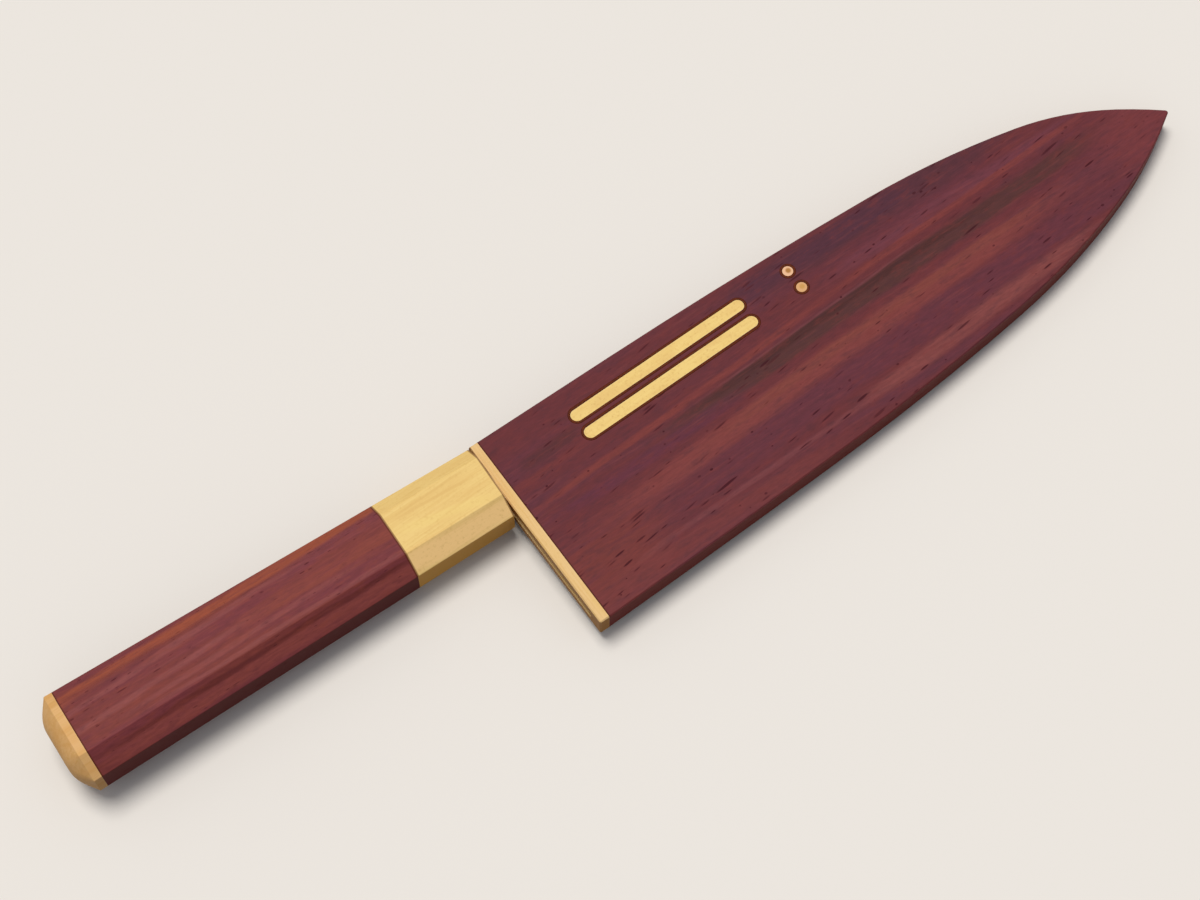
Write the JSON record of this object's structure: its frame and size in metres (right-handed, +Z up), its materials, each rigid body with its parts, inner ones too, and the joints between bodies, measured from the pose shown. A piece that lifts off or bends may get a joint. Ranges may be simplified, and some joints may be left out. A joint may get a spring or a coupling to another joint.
{
  "type": "knife blade guard",
  "caption": "Flat wooden guard with a slot for the blade, pale mouth strip and inlays, on the kitchen knife that it was made for; the knife slides out by its eight-sided handle.",
  "frame": {"origin": "on the table under the middle of the whole set, guard and knife together, as it lies", "axes": "+X along the guard from its mouth to its tip, +Y towards the spine side, +Z up, out of the table and within about 2.5 degrees of square to the inlaid face"},
  "size_m": [0.3674, 0.07, 0.0222],
  "materials": {
    "guard_padauk": "oiled dark red wood, sanded smooth",
    "handle_padauk": "oiled dark red wood, sanded smooth",
    "strip_boxwood": "oiled pale close-grained wood",
    "inlay_boxwood": "oiled pale close-grained wood",
    "ferrule_boxwood": "oiled pale close-grained wood",
    "cap_boxwood": "oiled pale close-grained wood, domed end",
    "pin_wood": "end grain of a pale wood",
    "blade_steel": "ground flat, fine brushed",
    "dowel_wood": "plain turned dowel"
  },
  "bodies": {
    "guard": {"guard_front_board": "guard_padauk", "guard_back_board": "guard_padauk", "guard_spacer": "guard_padauk", "mouth_strip": "strip_boxwood", "inlay_bar_spine_side": "inlay_boxwood", "inlay_bar_edge_side": "inlay_boxwood", "inlay_pin_spine_side": "pin_wood", "inlay_pin_edge_side": "pin_wood"},
    "knife": {"blade": "blade_steel", "ferrule": "ferrule_boxwood", "handle_grip": "handle_padauk", "butt_cap": "cap_boxwood", "core_dowel": "dowel_wood"}
  },
  "joints": [
    {"name": "knife_draw", "type": "slide", "parent": "guard", "child": "knife", "axis": [-0.9998, 0, 0.0191], "range_m": [0, 0.22]}
  ]
}
